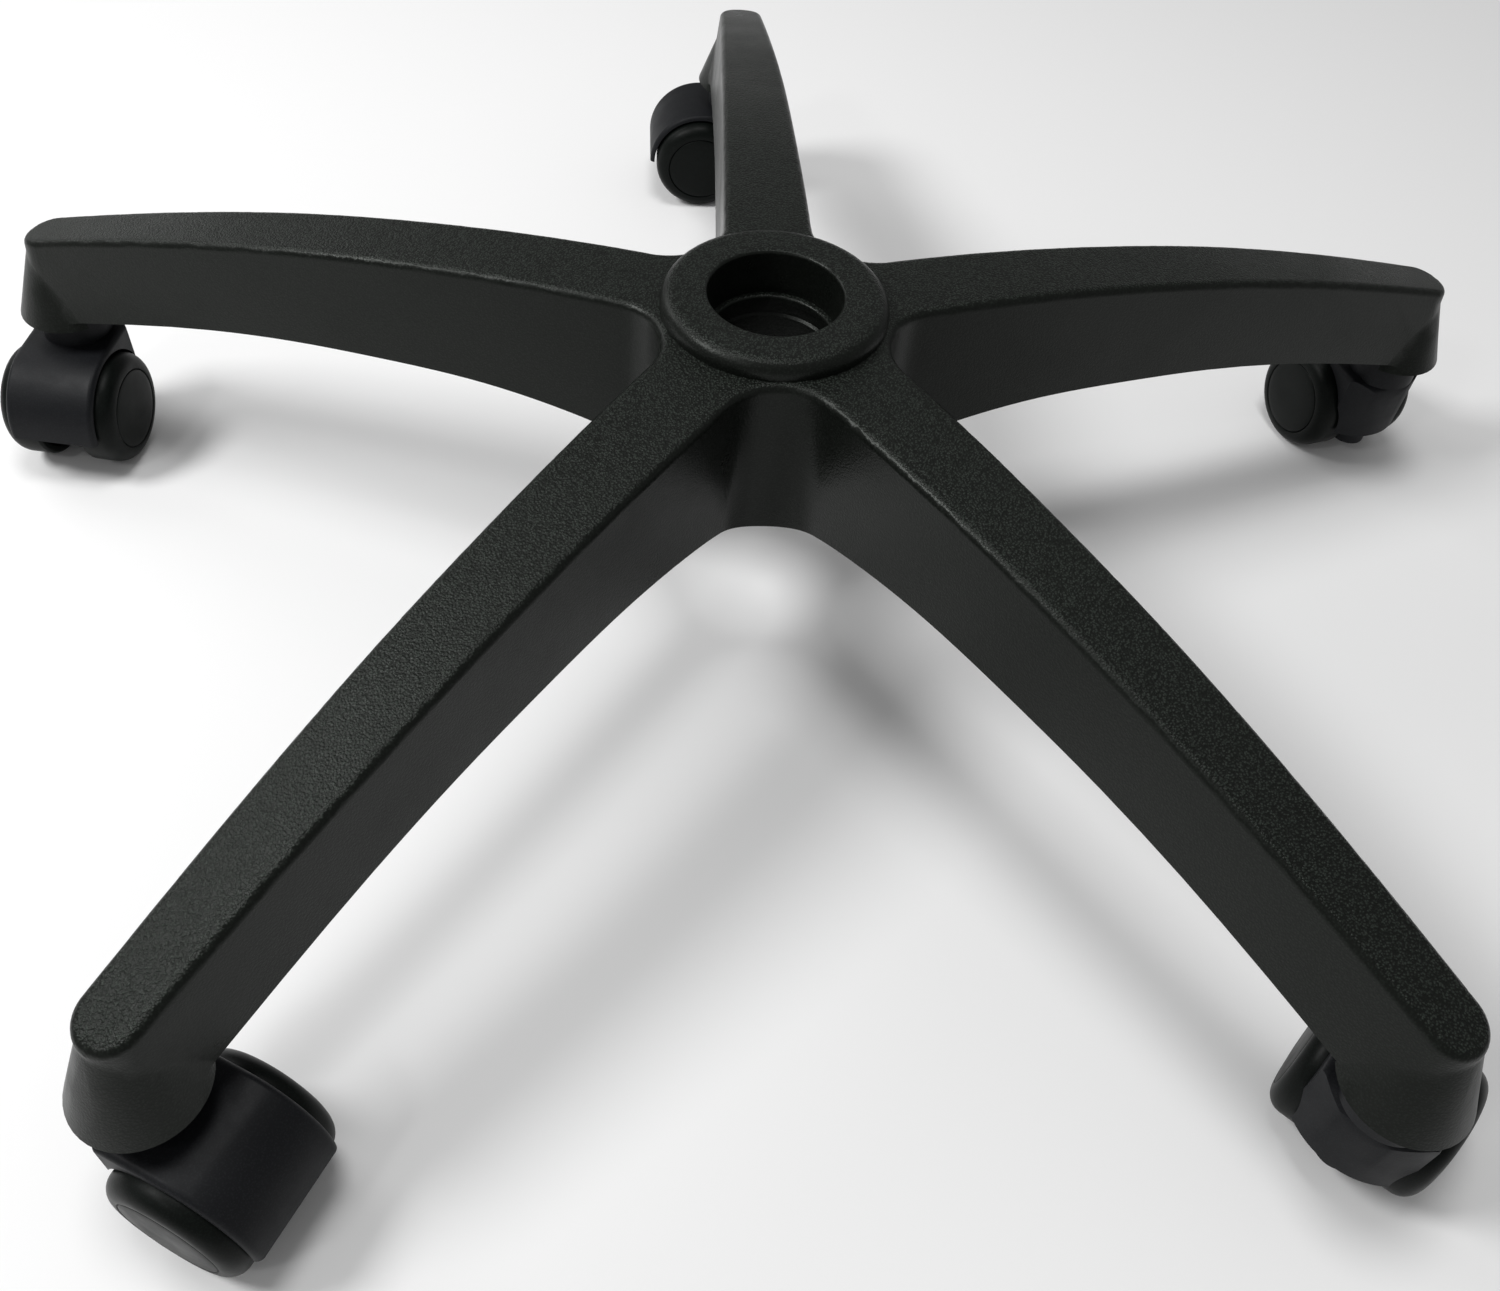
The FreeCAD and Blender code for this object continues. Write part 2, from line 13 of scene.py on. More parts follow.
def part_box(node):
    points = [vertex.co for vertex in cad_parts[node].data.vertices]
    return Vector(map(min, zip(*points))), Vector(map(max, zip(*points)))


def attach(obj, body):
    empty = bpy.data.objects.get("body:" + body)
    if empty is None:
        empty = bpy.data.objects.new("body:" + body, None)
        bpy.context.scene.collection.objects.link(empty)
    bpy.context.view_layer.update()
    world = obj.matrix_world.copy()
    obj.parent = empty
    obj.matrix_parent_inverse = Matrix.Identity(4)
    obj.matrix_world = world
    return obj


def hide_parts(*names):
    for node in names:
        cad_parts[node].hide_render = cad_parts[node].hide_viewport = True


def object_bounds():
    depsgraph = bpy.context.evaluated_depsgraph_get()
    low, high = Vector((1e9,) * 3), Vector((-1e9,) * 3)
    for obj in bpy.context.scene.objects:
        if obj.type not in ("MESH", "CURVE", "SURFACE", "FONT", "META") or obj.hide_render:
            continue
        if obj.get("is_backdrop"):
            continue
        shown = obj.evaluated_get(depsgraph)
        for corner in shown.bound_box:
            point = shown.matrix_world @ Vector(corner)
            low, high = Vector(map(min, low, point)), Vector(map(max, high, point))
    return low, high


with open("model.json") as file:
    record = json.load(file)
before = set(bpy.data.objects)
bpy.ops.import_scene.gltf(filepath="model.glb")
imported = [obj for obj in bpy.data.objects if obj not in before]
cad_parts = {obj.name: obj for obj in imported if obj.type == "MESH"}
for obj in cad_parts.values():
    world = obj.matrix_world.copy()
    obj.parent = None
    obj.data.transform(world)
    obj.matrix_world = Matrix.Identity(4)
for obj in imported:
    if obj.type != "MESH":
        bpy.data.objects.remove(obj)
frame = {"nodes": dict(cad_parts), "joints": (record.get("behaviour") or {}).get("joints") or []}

log = logging.getLogger("five_star_base")

MM = 0.001
NEAR = 0.01 * MM
LEVEL_ENOUGH = 0.9
Colour = tuple[float, float, float]


class Place(Enum):
    """Where each arm and its caster stand, named as the CAD names them."""

    REAR = "rear"
    LEFT = "left"
    FRONT_LEFT = "front_left"
    FRONT_RIGHT = "front_right"
    RIGHT = "right"


class Side(Enum):
    """The two wheels of a caster."""

    A = "a"
    B = "b"


class Slot(Enum):
    """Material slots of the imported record."""

    BASE_NYLON = "base_nylon"
    CASTER_NYLON = "caster_nylon"
    WHEEL_NYLON = "wheel_nylon"
    STEEL = "steel"
    SPRING_STEEL = "spring_steel"


def deselect_all() -> None:
    """Leave every object unselected, out of edit mode."""
    if bpy.context.object is not None and bpy.context.object.mode != "OBJECT":
        bpy.ops.object.mode_set(mode="OBJECT")
    bpy.ops.object.select_all(action="DESELECT")


def make_active(piece: bpy.types.Object) -> None:
    """Select one object alone and make it the active one.

    Args:
        piece: the object.
    """
    deselect_all()
    piece.select_set(True)
    bpy.context.view_layer.objects.active = piece


class NodeGroup:
    """A shader node group under construction, with named inputs and outputs."""

    def __init__(self, name: str) -> None:
        """Start an empty group.

        Args:
            name: the group's name in the file.
        """
        self.tree = bpy.data.node_groups.new(name, "ShaderNodeTree")
        self.entry = self.tree.nodes.new("NodeGroupInput")
        self.exit = self.tree.nodes.new("NodeGroupOutput")

    def add_input(self, name: str, value: float) -> None:
        """Add a number input with its usual value."""
        socket = self.tree.interface.new_socket(name=name, in_out="INPUT", socket_type="NodeSocketFloat")
        socket.default_value = value

    def add_output(self, name: str) -> None:
        """Add a number output."""
        self.tree.interface.new_socket(name=name, in_out="OUTPUT", socket_type="NodeSocketFloat")

    def node(self, kind: str, **settings: object) -> bpy.types.Node:
        """Add a node and set its properties.

        Args:
            kind: the node's type.
            settings: its properties by name.

        Returns:
            The new node.
        """
        made = self.tree.nodes.new(kind)
        for key, value in settings.items():
            setattr(made, key, value)
        return made

    def math(self, operation: str, first: object, second: object) -> bpy.types.NodeSocket:
        """Join two values, each a socket or a number, by a math node.

        Args:
            operation: the math node's operation.
            first: the first value.
            second: the second value.

        Returns:
            The math node's output socket.
        """
        made = self.node("ShaderNodeMath", operation=operation)
        for socket, value in zip(made.inputs, (first, second)):
            if isinstance(value, bpy.types.NodeSocket):
                self.tree.links.new(value, socket)
            else:
                socket.default_value = value
        return made.outputs[0]

    def mask(self, source: bpy.types.NodeSocket, low: float, high: float, name: str) -> None:
        """Put out a mask that rises from 0 to 1 while the source rises between two values.

        Args:
            source: the socket to read.
            low: the value at which the mask starts.
            high: the value at which the mask is full.
            name: the group's output.
        """
        ramp = self.node("ShaderNodeMapRange")
        ramp.inputs["From Min"].default_value = low
        ramp.inputs["From Max"].default_value = high
        self.link(source, ramp.inputs["Value"])
        self.link(ramp.outputs["Result"], self.exit.inputs[name])

    def link(self, source: bpy.types.NodeSocket, target: bpy.types.NodeSocket) -> None:
        """Join an output socket to an input socket."""
        self.tree.links.new(source, target)


@dataclass(frozen=True)
class GrainGroup:
    """The pebbled mould grain: a height for the bump and a mask of its crests, where the materials paint
    a lighter glint, a painted highlight.
    """

    pebbles_per_metre: float = 1250.0
    pebble_smoothness: float = 0.6
    dome_height: float = 0.8
    fine_scale: float = 1.7
    fine_detail: float = 3.0
    fine_share: float = 0.6
    crests_from: float = 0.62
    crests_full: float = 0.95

    def build(self) -> bpy.types.NodeTree:
        """Make the group once.

        Returns:
            The node group, to place in each material.
        """
        group = NodeGroup("mould grain")
        group.add_input("Pebbles per metre", self.pebbles_per_metre)
        group.add_output("Height")
        group.add_output("Crests")
        place = group.node("ShaderNodeTexCoord").outputs["Object"]
        pebbles = group.node("ShaderNodeTexVoronoi", feature="SMOOTH_F1")
        pebbles.inputs["Smoothness"].default_value = self.pebble_smoothness
        fine = group.node("ShaderNodeTexNoise")
        fine.inputs["Detail"].default_value = self.fine_detail
        for texture in (pebbles, fine):
            group.link(place, texture.inputs["Vector"])
        count = group.entry.outputs["Pebbles per metre"]
        group.link(count, pebbles.inputs["Scale"])
        group.link(group.math("MULTIPLY", count, self.fine_scale), fine.inputs["Scale"])
        domes = group.math("SUBTRACT", self.dome_height, pebbles.outputs["Distance"])
        height = group.math("ADD", domes, group.math("MULTIPLY", fine.outputs["Fac"], self.fine_share))
        group.link(height, group.exit.inputs["Height"])
        group.mask(height, self.crests_from, self.crests_full, "Crests")
        return group.tree


@dataclass(frozen=True)
class RubbingGroup:
    """Broad rubbed and dusty patches from handling, as a mask."""

    patches_per_metre: float = 16.0
    detail: float = 4.0
    roughness: float = 0.62
    patches_from: float = 0.36
    patches_full: float = 0.68

    def build(self) -> bpy.types.NodeTree:
        """Make the group once.

        Returns:
            The node group, to place in each material.
        """
        group = NodeGroup("rubbed patches")
        group.add_input("Patches per metre", self.patches_per_metre)
        group.add_output("Mask")
        place = group.node("ShaderNodeTexCoord").outputs["Object"]
        broad = group.node("ShaderNodeTexNoise")
        broad.inputs["Detail"].default_value = self.detail
        broad.inputs["Roughness"].default_value = self.roughness
        group.link(place, broad.inputs["Vector"])
        group.link(group.entry.outputs["Patches per metre"], broad.inputs["Scale"])
        group.mask(broad.outputs["Fac"], self.patches_from, self.patches_full, "Mask")
        return group.tree


def mix_colours(tree: bpy.types.NodeTree, first: Colour, second: Colour,
                mask: bpy.types.NodeSocket) -> None:
    """Let a mask carry the shader's base colour from one colour to another.

    Args:
        tree: the material's nodes.
        first: the colour where the mask is 0.
        second: the colour where the mask is 1.
        mask: the mask's socket.
    """
    mixed = tree.nodes.new("ShaderNodeMix")
    mixed.data_type = "RGBA"
    mixed.inputs["A"].default_value = (*first, 1.0)
    mixed.inputs["B"].default_value = (*second, 1.0)
    tree.links.new(mask, mixed.inputs["Factor"])
    tree.links.new(mixed.outputs["Result"], tree.nodes["Principled BSDF"].inputs["Base Color"])


def rub(tree: bpy.types.NodeTree, rubbing: bpy.types.NodeTree, patches_per_metre: float,
        roughness: tuple[float, float]) -> bpy.types.NodeSocket:
    """Let the rubbed patches carry the shader's roughness between two values.

    Args:
        tree: the material's nodes.
        rubbing: the rubbed patches group.
        patches_per_metre: how close the patches lie.
        roughness: the roughness outside and inside the patches.

    Returns:
        The mask's socket.
    """
    patches = tree.nodes.new("ShaderNodeGroup")
    patches.node_tree = rubbing
    patches.inputs["Patches per metre"].default_value = patches_per_metre
    gloss = tree.nodes.new("ShaderNodeMapRange")
    gloss.inputs["To Min"].default_value, gloss.inputs["To Max"].default_value = roughness
    tree.links.new(patches.outputs["Mask"], gloss.inputs["Value"])
    tree.links.new(gloss.outputs["Result"], tree.nodes["Principled BSDF"].inputs["Roughness"])
    return patches.outputs["Mask"]


@dataclass(frozen=True)
class NylonFinish:
    """A black moulded nylon: its own colour in the hollows of its grain, a lighter painted glint on the
    grain's crests, and gloss.
    """

    name: str
    slot: Slot
    hollow: Colour
    # The lighter colour on the grain's crests is a painted glint, not the nylon's own colour.
    crest_glint: Colour
    roughness: tuple[float, float]
    specular: float
    pebbles_per_metre: float
    grain_depth_mm: float
    patches_per_metre: float
    gloss_tint: Colour = (1.0, 1.0, 1.0)
    grain_only_on_top: bool = False
    wall_grain: float = 0.22
    grain_from: float = 0.78
    grain_full: float = 0.93

    def build(self, grain: bpy.types.NodeTree, rubbing: bpy.types.NodeTree) -> bpy.types.Material:
        """Make the material.

        Args:
            grain: the mould grain group.
            rubbing: the rubbed patches group.

        Returns:
            The finished material.
        """
        material = bpy.data.materials.new(self.name)
        material.use_nodes = True
        tree = material.node_tree
        shader = tree.nodes["Principled BSDF"]
        shader.inputs["Specular IOR Level"].default_value = self.specular
        shader.inputs["Specular Tint"].default_value = (*self.gloss_tint, 1.0)
        pebbles = tree.nodes.new("ShaderNodeGroup")
        pebbles.node_tree = grain
        pebbles.inputs["Pebbles per metre"].default_value = self.pebbles_per_metre
        rub(tree, rubbing, self.patches_per_metre, self.roughness)
        bump = tree.nodes.new("ShaderNodeBump")
        bump.inputs["Distance"].default_value = self.grain_depth_mm * MM
        tree.links.new(pebbles.outputs["Height"], bump.inputs["Height"])
        tree.links.new(bump.outputs["Normal"], shader.inputs["Normal"])
        crests = pebbles.outputs["Crests"]
        # On the star the painted glint is full on the tops and faint on the walls, so the tops read
        # lighter as painted highlight.
        if self.grain_only_on_top:
            amount = self.top_mask(tree)
            tree.links.new(amount, bump.inputs["Strength"])
            crests = self.masked(tree, crests, amount)
        # The grain's crests take the crest_glint colour, a painted glint lighter than the nylon's own
        # hollow colour.
        mix_colours(tree, self.hollow, self.crest_glint, crests)
        return material

    def masked(self, tree: bpy.types.NodeTree, crests: bpy.types.NodeSocket,
               amount: bpy.types.NodeSocket) -> bpy.types.NodeSocket:
        """The grain's crests, weaker where there is less grain.

        Args:
            tree: the material's nodes.
            crests: the crests' mask.
            amount: how strong the grain is.

        Returns:
            The socket that holds the weakened mask.
        """
        product = tree.nodes.new("ShaderNodeMath")
        product.operation = "MULTIPLY"
        tree.links.new(crests, product.inputs[0])
        tree.links.new(amount, product.inputs[1])
        return product.outputs[0]

    def top_mask(self, tree: bpy.types.NodeTree) -> bpy.types.NodeSocket:
        """How strong the grain and its painted glint are over the surface: full on the tops, faint on
        the walls, so the tops also read lighter by painted highlight.

        Args:
            tree: the material's nodes.

        Returns:
            The socket that holds the amount.
        """
        facing = tree.nodes.new("ShaderNodeNewGeometry")
        split = tree.nodes.new("ShaderNodeSeparateXYZ")
        amount = tree.nodes.new("ShaderNodeMapRange")
        tree.links.new(facing.outputs["Normal"], split.inputs["Vector"])
        tree.links.new(split.outputs["Z"], amount.inputs["Value"])
        amount.inputs["From Min"].default_value = self.grain_from
        amount.inputs["From Max"].default_value = self.grain_full
        amount.inputs["To Min"].default_value = self.wall_grain
        return amount.outputs["Result"]


@dataclass(frozen=True)
class SteelFinish:
    """A plated or plain steel with duller, oily patches."""

    name: str
    slot: Slot
    bright: Colour
    dull: Colour
    roughness: tuple[float, float]
    patches_per_metre: float = 260.0

    def build(self, rubbing: bpy.types.NodeTree) -> bpy.types.Material:
        """Make the material.

        Args:
            rubbing: the rubbed patches group.

        Returns:
            The finished material.
        """
        material = bpy.data.materials.new(self.name)
        material.use_nodes = True
        tree = material.node_tree
        shader = tree.nodes["Principled BSDF"]
        shader.inputs["Metallic"].default_value = 1.0
        mask = rub(tree, rubbing, self.patches_per_metre, self.roughness)
        mix_colours(tree, self.bright, self.dull, mask)
        return material


class FinishShelf:
    """All finishes of the base, made once and handed out by slot."""

    def __init__(self) -> None:
        """Build the groups and the materials."""
        grain, rubbing = GrainGroup().build(), RubbingGroup().build()
        # Each nylon's lighter colour on the crests of its grain is a painted glint; on the star it is
        # strongest on the tops, a painted highlight.
        nylons = (
            NylonFinish("grained nylon", Slot.BASE_NYLON, hollow=(0.0044, 0.0052, 0.0043),
                        crest_glint=(0.024, 0.030, 0.025), roughness=(0.27, 0.42), specular=0.17,
                        pebbles_per_metre=1250.0, grain_depth_mm=0.26, patches_per_metre=16.0,
                        gloss_tint=(0.95, 1.0, 0.95), grain_only_on_top=True),
            NylonFinish("satin caster nylon", Slot.CASTER_NYLON, hollow=(0.0072, 0.0077, 0.0090),
                        crest_glint=(0.0115, 0.0125, 0.0140), roughness=(0.44, 0.58), specular=0.14,
                        pebbles_per_metre=1500.0, grain_depth_mm=0.014, patches_per_metre=40.0),
            NylonFinish("wheel nylon", Slot.WHEEL_NYLON, hollow=(0.0034, 0.0044, 0.0038),
                        crest_glint=(0.006, 0.008, 0.007), roughness=(0.34, 0.48), specular=0.09,
                        pebbles_per_metre=1500.0, grain_depth_mm=0.012, patches_per_metre=55.0),
        )
        steels = (
            SteelFinish("zinc plated steel", Slot.STEEL, bright=(0.56, 0.56, 0.57),
                        dull=(0.40, 0.40, 0.39), roughness=(0.26, 0.42)),
            SteelFinish("spring steel", Slot.SPRING_STEEL, bright=(0.42, 0.42, 0.43),
                        dull=(0.26, 0.26, 0.27), roughness=(0.30, 0.48)),
        )
        self.materials = {finish.slot: finish.build(grain, rubbing) for finish in nylons}
        self.materials.update({finish.slot: finish.build(rubbing) for finish in steels})

    def dress(self, piece: bpy.types.Object, slot: Slot) -> None:
        """Give a piece its one material."""
        piece.data.materials.clear()
        piece.data.materials.append(self.materials[slot])


@dataclass(frozen=True)
class CalmNormals:
    """Even shading for a copied CAD shape whose broad faces are cut into a few long triangles.

    The broad faces take the mean direction of their like neighbours, and each corner then takes the
    mean of the faces that it joins, by area, so walls stay calm and the narrow blends carry the turn.
    """

    broad_mm2: float = 8.0
    reach_mm: float = 16.0
    like_degrees: float = 9.0
    crease_degrees: float = 40.0

    def directions(self, mesh: bpy.types.Mesh) -> tuple[np.ndarray, np.ndarray]:
        """Each face's calmed direction and its area.

        Args:
            mesh: the merged copy.

        Returns:
            The directions, one row a face, and the areas.
        """
        count = len(mesh.polygons)
        centres, normals, areas = np.empty(count * 3), np.empty(count * 3), np.empty(count)
        mesh.polygons.foreach_get("center", centres)
        mesh.polygons.foreach_get("normal", normals)
        mesh.polygons.foreach_get("area", areas)
        centres, normals = centres.reshape(-1, 3), normals.reshape(-1, 3)
        broad = np.flatnonzero(areas > self.broad_mm2 * MM * MM)
        like = math.cos(math.radians(self.like_degrees))
        calmed = normals.copy()
        for face in broad:
            away = ((centres[broad] - centres[face]) ** 2).sum(axis=1)
            weight = areas[broad] * np.exp(-away / (2 * (self.reach_mm * MM) ** 2))
            weight[normals[broad] @ normals[face] < like] = 0.0
            calmed[face] = weight @ normals[broad]
        calmed /= np.linalg.norm(calmed, axis=1)[:, None]
        return calmed, areas

    def apply(self, piece: bpy.types.Object) -> None:
        """Give the piece its calmed corner normals.

        Args:
            piece: the merged copy of a CAD shape.
        """
        mesh = piece.data
        mesh.polygons.foreach_set("use_smooth", [True] * len(mesh.polygons))
        calmed, areas = self.directions(mesh)
        joined: dict[int, list[int]] = {}
        for face in mesh.polygons:
            for corner in face.vertices:
                joined.setdefault(corner, []).append(face.index)
        crease = math.cos(math.radians(self.crease_degrees))
        corners = []
        for face in mesh.polygons:
            for corner in face.vertices:
                near = joined[corner]
                weight = areas[near] * (calmed[near] @ calmed[face.index] > crease)
                corners.append(weight @ calmed[near])
        mesh.normals_split_custom_set([Vector(corner).normalized() for corner in corners])


@dataclass
class SmoothCopy:
    """A CAD node's own shape with its loose triangles joined and its curved faces shaded smooth."""

    node: str
    name: str
    body: str
    slot: Slot
    shading: CalmNormals = CalmNormals()
    join_distance: float = 0.002 * MM

    def build(self, shelf: FinishShelf) -> bpy.types.Object:
        """Make the piece, dress it and let it stand for its node.

        Args:
            shelf: the finishes.

        Returns:
            The finished piece.
        """
        piece = bpy.data.objects.new(self.name, frame["nodes"][self.node].data.copy())
        bpy.context.scene.collection.objects.link(piece)
        piece.data.name = self.name
        make_active(piece)
        bpy.ops.object.mode_set(mode="EDIT")
        bpy.ops.mesh.select_all(action="SELECT")
        bpy.ops.mesh.remove_doubles(threshold=self.join_distance)
        bpy.ops.object.mode_set(mode="OBJECT")
        self.shading.apply(piece)
        shelf.dress(piece, self.slot)
        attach(piece, self.body)
        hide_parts(self.node)
        log.info("%s stands for %s", self.name, self.node)
        return piece


def pick_faces(piece: bpy.types.Object, level: float, upward: bool) -> None:
    """Select, in edit mode, only the faces that lie flat at one height and face up or down.

    Args:
        piece: the object in edit mode.
        level: the height in metres.
        upward: whether the faces look up.
    """
    bpy.ops.mesh.select_all(action="DESELECT")
    bpy.ops.object.mode_set(mode="OBJECT")
    for face in piece.data.polygons:
        flat = all(abs(piece.data.vertices[corner].co.z - level) < NEAR for corner in face.vertices)
        face.select = flat and (face.normal.z if upward else -face.normal.z) > LEVEL_ENOUGH
    bpy.ops.object.mode_set(mode="EDIT")


def pick_rim(piece: bpy.types.Object, level: float) -> None:
    """Select, in edit mode, only the edges whose two ends lie at one height.

    Args:
        piece: the object in edit mode.
        level: the height in metres.
    """
    bpy.ops.mesh.select_all(action="DESELECT")
    bpy.ops.mesh.select_mode(type="EDGE")
    bpy.ops.object.mode_set(mode="OBJECT")
    for edge in piece.data.edges:
        edge.select = all(abs(piece.data.vertices[end].co.z - level) < NEAR for end in edge.vertices)
    bpy.ops.object.mode_set(mode="EDIT")


def push(height: float) -> None:
    """Extrude the selected faces straight up, or down where the height is negative."""
    bpy.ops.mesh.extrude_region_move(TRANSFORM_OT_translate={"value": (0.0, 0.0, height)})


@dataclass
class WheelForm:
    """A caster wheel in millimetres, along and around its axle, modelled once for all ten."""

    sides: int = 96
    radius: float = 25.0
    inner_face: float = 9.3
    outer_face: float = 26.0
    rim: float = 3.2
    web: float = 3.0
    shoulder: float = 6.4
    shoulder_steps: int = 10
    hub_radius: float = 6.0
    bore_radius: float = 3.05
    bore_end: float = 20.3
    cap_radius: float = 17.8
    groove: float = 0.8
    crown: float = 0.8
    crown_reach: float = 2 / 3
    crown_rings: int = 5
    edge_rounding: float = 0.16
    edge_steps: int = 2
    edge_degrees: float = 30.0
    smooth_degrees: float = 32.0
    pattern: bpy.types.Object | None = None

    @property
    def lead(self) -> float:
        """The width of the inner rim's broken edge."""
        return self.rim / 3

    def copy_for(self, name: str, place: Vector, outward: Vector) -> bpy.types.Object:
        """A wheel of its own mesh, standing on its axle.

        Args:
            name: the wheel's name.
            place: the point on the axle in the caster's middle, in metres.
            outward: the way the wheel's closed face looks.

        Returns:
            The wheel, its place in its mesh.
        """
        if self.pattern is None:
            self.pattern = self.model()
        wheel = bpy.data.objects.new(name, self.pattern.data.copy())
        wheel.data.name = name
        bpy.context.scene.collection.objects.link(wheel)
        turn = outward.to_track_quat("Z", "Y").to_matrix().to_4x4()
        wheel.data.transform(Matrix.Translation(place) @ turn)
        return wheel

    def model(self) -> bpy.types.Object:
        """Shape the wheel from a cylinder that stands on its open side.

        Returns:
            The pattern, which is taken off the scene once all wheels are copied from it.
        """
        deselect_all()
        bottom, top = self.inner_face * MM, self.outer_face * MM
        bpy.ops.mesh.primitive_cylinder_add(vertices=self.sides, radius=self.radius * MM,
                                            depth=top - bottom, location=(0.0, 0.0, (top + bottom) / 2))
        pattern = bpy.context.object
        bpy.ops.object.transform_apply(location=True, rotation=False, scale=False)
        bpy.ops.object.mode_set(mode="EDIT")
        self.round_rims(pattern, bottom, top)
        self.cap(pattern, top)
        self.hollow(pattern, bottom)
        bpy.ops.object.mode_set(mode="OBJECT")
        rounding = pattern.modifiers.new("edge rounding", "BEVEL")
        rounding.width = self.edge_rounding * MM
        rounding.segments = self.edge_steps
        rounding.limit_method = "ANGLE"
        rounding.angle_limit = math.radians(self.edge_degrees)
        bpy.ops.object.modifier_apply(modifier=rounding.name)
        bpy.ops.object.shade_smooth_by_angle(angle=math.radians(self.smooth_degrees))
        return pattern

    def round_rims(self, pattern: bpy.types.Object, bottom: float, top: float) -> None:
        """Round the shoulder over to the outer face and break the inner rim's edge.

        Args:
            pattern: the wheel in edit mode.
            bottom: the open side's height in metres.
            top: the closed side's height in metres.
        """
        pick_rim(pattern, top)
        bpy.ops.mesh.bevel(offset=self.shoulder * MM, segments=self.shoulder_steps, affect="EDGES")
        pick_rim(pattern, bottom)
        bpy.ops.mesh.bevel(offset=self.lead * MM, segments=1, affect="EDGES")
        bpy.ops.mesh.select_mode(type="FACE")

    def cap(self, pattern: bpy.types.Object, top: float) -> None:
        """Cut the cap's fine ring groove and crown the cap.

        Args:
            pattern: the wheel in edit mode.
            top: the closed side's height in metres.
        """
        pick_faces(pattern, top, upward=True)
        half = self.groove / 2
        flat = self.radius - self.shoulder - self.cap_radius - half
        bpy.ops.mesh.inset(thickness=flat * MM, depth=0.0)
        bpy.ops.mesh.inset(thickness=half * MM, depth=-self.groove * MM)
        bpy.ops.mesh.inset(thickness=half * MM, depth=self.groove * MM)
        step = (self.cap_radius - half) * self.crown_reach / self.crown_rings
        rises = [1 - (1 - ring / self.crown_rings) ** 2 for ring in range(self.crown_rings + 1)]
        heights = [self.crown * rise for rise in rises]
        for low, high in zip(heights, heights[1:]):
            bpy.ops.mesh.inset(thickness=step * MM, depth=(high - low) * MM)

    def hollow(self, pattern: bpy.types.Object, bottom: float) -> None:
        """Sink the open inner side, leave the hub standing and bore it for the axle.

        Args:
            pattern: the wheel in edit mode.
            bottom: the open side's height in metres.
        """
        depth = (self.outer_face - self.web) * MM - bottom
        pick_faces(pattern, bottom, upward=False)
        bpy.ops.mesh.inset(thickness=(self.rim - self.lead) * MM, depth=0.0)
        push(depth)
        bpy.ops.mesh.inset(thickness=(self.radius - self.rim - self.hub_radius) * MM, depth=0.0)
        push(-depth)
        bpy.ops.mesh.inset(thickness=(self.hub_radius - self.bore_radius) * MM, depth=0.0)
        push((self.bore_end - self.inner_face) * MM)

    def put_away(self) -> None:
        """Take the pattern off the scene."""
        if self.pattern is not None:
            bpy.data.objects.remove(self.pattern, do_unlink=True)
            self.pattern = None


@dataclass
class StarBase:
    """The one-piece star with its hub."""

    node: str = "star_base"

    def build(self, shelf: FinishShelf) -> None:
        """Make the star's moulding."""
        SmoothCopy(self.node, "star_moulding", "base", Slot.BASE_NYLON).build(shelf)


@dataclass
class Caster:
    """One hooded twin wheel caster."""

    place: Place
    wheel_form: WheelForm

    @property
    def body(self) -> str:
        """The swivelling body's name."""
        return f"caster_{self.place.value}"

    def build(self, shelf: FinishShelf) -> None:
        """Make the hood and wheels and dress the steel parts.

        Args:
            shelf: the finishes.
        """
        hood = f"{self.body}_hood"
        SmoothCopy(hood, f"{hood}_moulding", self.body, Slot.CASTER_NYLON).build(shelf)
        for side in Side:
            self.build_wheel(f"{self.body}_wheel_{side.value}", shelf)
        for part, slot in (("stem", Slot.STEEL), ("axle", Slot.STEEL), ("grip_ring", Slot.SPRING_STEEL)):
            steel_part = frame["nodes"][f"{self.body}_{part}"]
            shelf.dress(steel_part, slot)
            log.info("%s keeps its own shape", steel_part.name)

    def build_wheel(self, node: str, shelf: FinishShelf) -> None:
        """Put one wheel on the axle, looking outwards.

        Args:
            node: the wheel's CAD node, which is also its body's name.
            shelf: the finishes.
        """
        hinge = next(joint for joint in frame["joints"] if joint["child"] == node)
        place, axis = Vector(hinge["pos_m"]), Vector(hinge["axis"]).normalized()
        low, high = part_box(node)
        away = (Vector(low) + Vector(high)) / 2 - place
        outward = axis if away.dot(axis) > 0 else -axis
        wheel = self.wheel_form.copy_for(f"{node}_moulding", place, outward)
        shelf.dress(wheel, Slot.WHEEL_NYLON)
        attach(wheel, node)
        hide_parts(node)
        log.info("%s turns on its axle", wheel.name)


@dataclass(frozen=True)
class PhotoCamera:
    """The photograph's viewpoint, solved from the star's own edges."""

    place: tuple[float, float, float] = (-0.0453976, -0.4215465, 0.308811)
    turn_degrees: tuple[float, float, float] = (39.8305308, -3.2797447, -1.2667675)
    image_width: float = 1500.0
    image_height: float = 1291.0
    focal_pixels: float = 1395.94
    centre_pixels: tuple[float, float] = (725.39, 639.62)
    sensor_mm: float = 36.0
    nearest: float = 0.01

    def build(self) -> None:
        """Add the camera and make it the scene's own."""
        lens = bpy.data.cameras.new("photo camera")
        lens.sensor_width = self.sensor_mm
        lens.lens = self.focal_pixels / self.image_width * self.sensor_mm
        lens.shift_x = (self.image_width / 2 - self.centre_pixels[0]) / self.image_width
        lens.shift_y = (self.centre_pixels[1] - self.image_height / 2) / self.image_width
        lens.clip_start = self.nearest
        camera = bpy.data.objects.new("photo camera", lens)
        camera.location = self.place
        camera.rotation_euler = [math.radians(angle) for angle in self.turn_degrees]
        bpy.context.scene.collection.objects.link(camera)
        bpy.context.scene.camera = camera


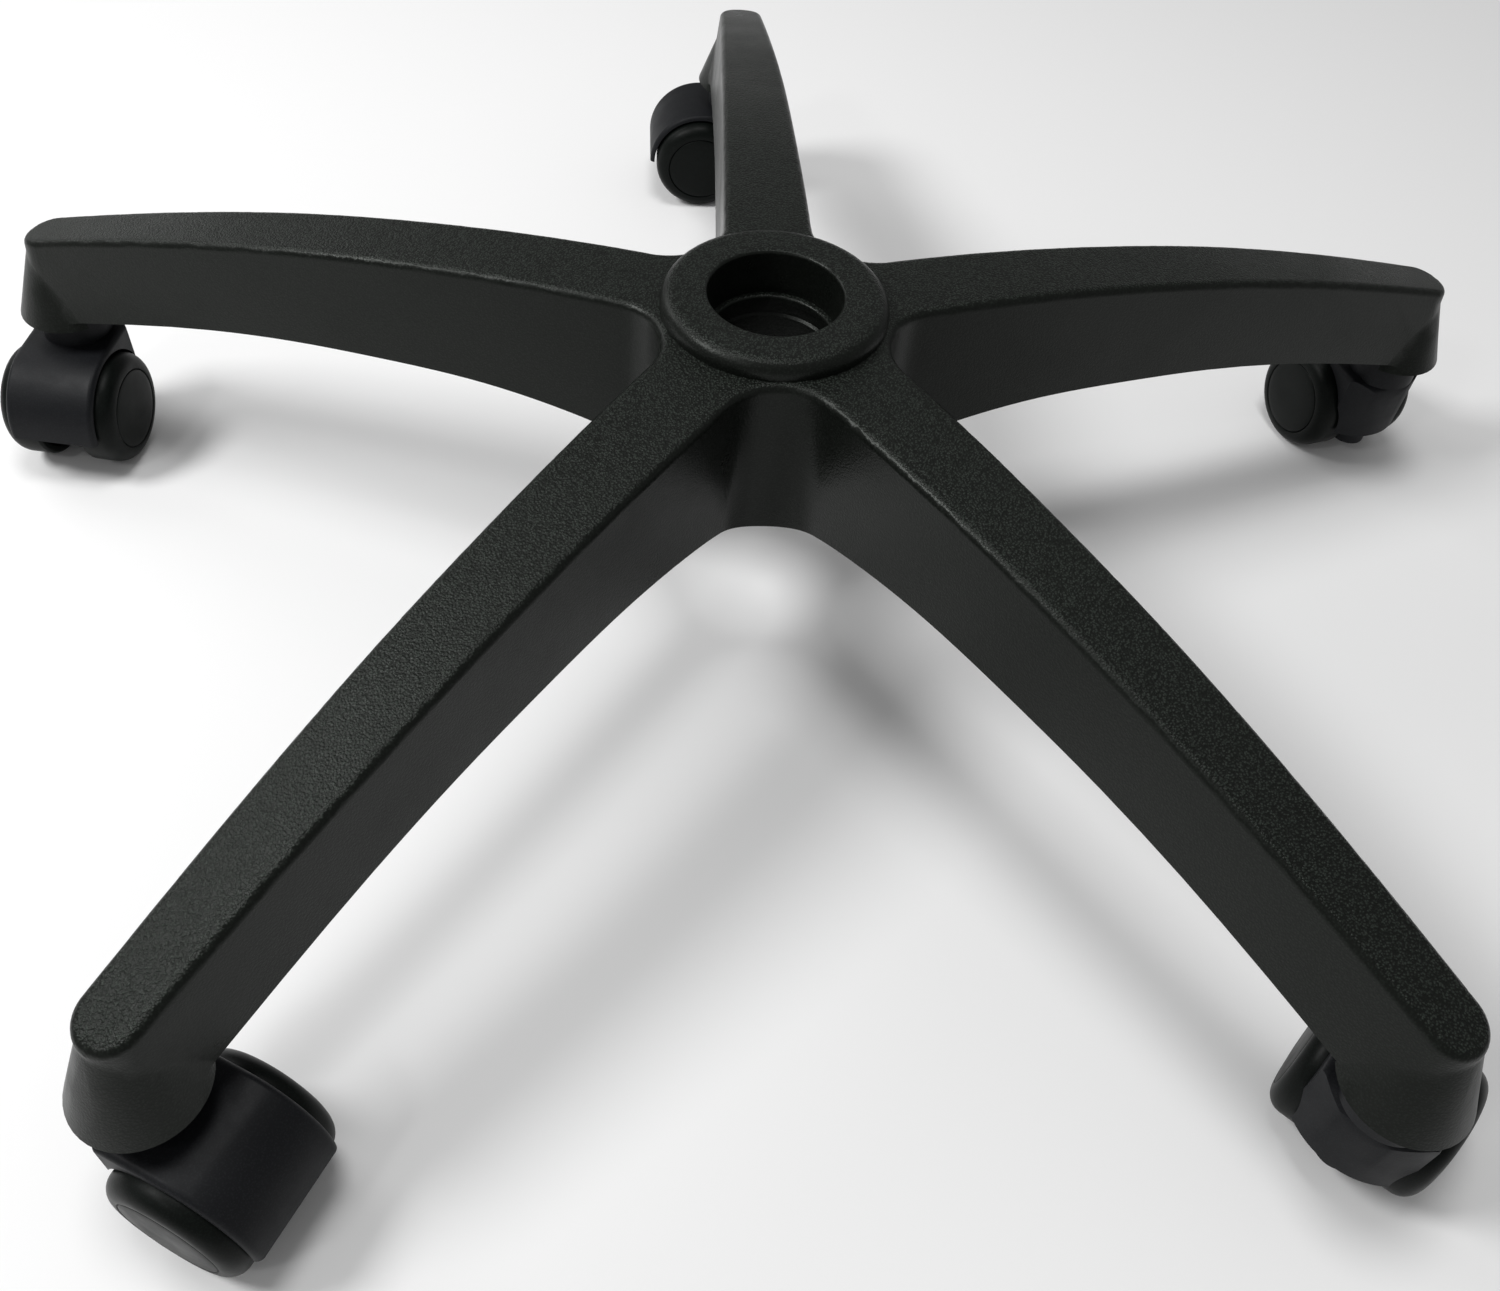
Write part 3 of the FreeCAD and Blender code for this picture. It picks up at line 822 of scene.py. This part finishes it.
@dataclass(frozen=True)
class SoftLamp:
    """One soft studio lamp."""

    name: str
    place: tuple[float, float, float]
    size: float
    watts: float
    aim: tuple[float, float, float] = (0.0, 0.0, -0.05)

    def build(self) -> None:
        """Add the lamp and turn it to its aim."""
        light = bpy.data.lights.new(self.name, "AREA")
        light.shape = "DISK"
        light.size = self.size
        light.energy = self.watts
        lamp = bpy.data.objects.new(self.name, light)
        lamp.location = self.place
        direction = Vector(self.aim) - Vector(self.place)
        lamp.rotation_euler = direction.to_track_quat("-Z", "Y").to_euler()
        bpy.context.scene.collection.objects.link(lamp)


@dataclass
class Studio:
    """The pale floor, the world and the lamps."""

    floor_size: float = 12.0
    floor_colour: Colour = (0.91, 0.91, 0.91)
    floor_roughness: float = 0.9
    floor_specular: float = 0.1
    world_light: float = 0.29
    lamps: tuple[SoftLamp, ...] = (
        SoftLamp("overhead", place=(-0.1, 0.0, 1.6), size=0.6, watts=9.0),
        SoftLamp("left window", place=(-1.15, -0.15, 1.2), size=0.5, watts=15.0),
        SoftLamp("back window", place=(-1.3, 1.0, 0.8), size=1.0, watts=5.5),
        SoftLamp("front left lamp", place=(-0.9, -0.95, 1.2), size=0.2, watts=1.7),
    )

    def build(self) -> None:
        """Make the floor, the world and the lamps."""
        low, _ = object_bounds()
        bpy.ops.mesh.primitive_plane_add(size=self.floor_size, location=(0.0, 0.0, low.z))
        floor = bpy.context.object
        floor.name = "floor"
        floor.data.materials.append(self.floor_material())
        floor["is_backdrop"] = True
        world = bpy.data.worlds.new("soft white room")
        bpy.context.scene.world = world
        world.use_nodes = True
        light = world.node_tree.nodes["Background"]
        light.inputs["Color"].default_value = (1.0, 1.0, 1.0, 1.0)
        light.inputs["Strength"].default_value = self.world_light
        for lamp in self.lamps:
            lamp.build()
        bpy.context.scene.view_settings.view_transform = "Standard"

    def floor_material(self) -> bpy.types.Material:
        """The floor's matt white.

        Returns:
            The floor's material.
        """
        material = bpy.data.materials.new("pale floor")
        material.use_nodes = True
        shader = material.node_tree.nodes["Principled BSDF"]
        shader.inputs["Base Color"].default_value = (*self.floor_colour, 1.0)
        shader.inputs["Roughness"].default_value = self.floor_roughness
        shader.inputs["Specular IOR Level"].default_value = self.floor_specular
        return material


def main() -> None:
    """Build the star, the casters, the camera and the studio."""
    logging.basicConfig(level=logging.INFO)
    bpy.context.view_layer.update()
    shelf = FinishShelf()
    StarBase().build(shelf)
    wheel_form = WheelForm()
    for place in Place:
        Caster(place, wheel_form).build(shelf)
    wheel_form.put_away()
    PhotoCamera().build()
    Studio().build()
    deselect_all()


if __name__ == "__main__":
    main()
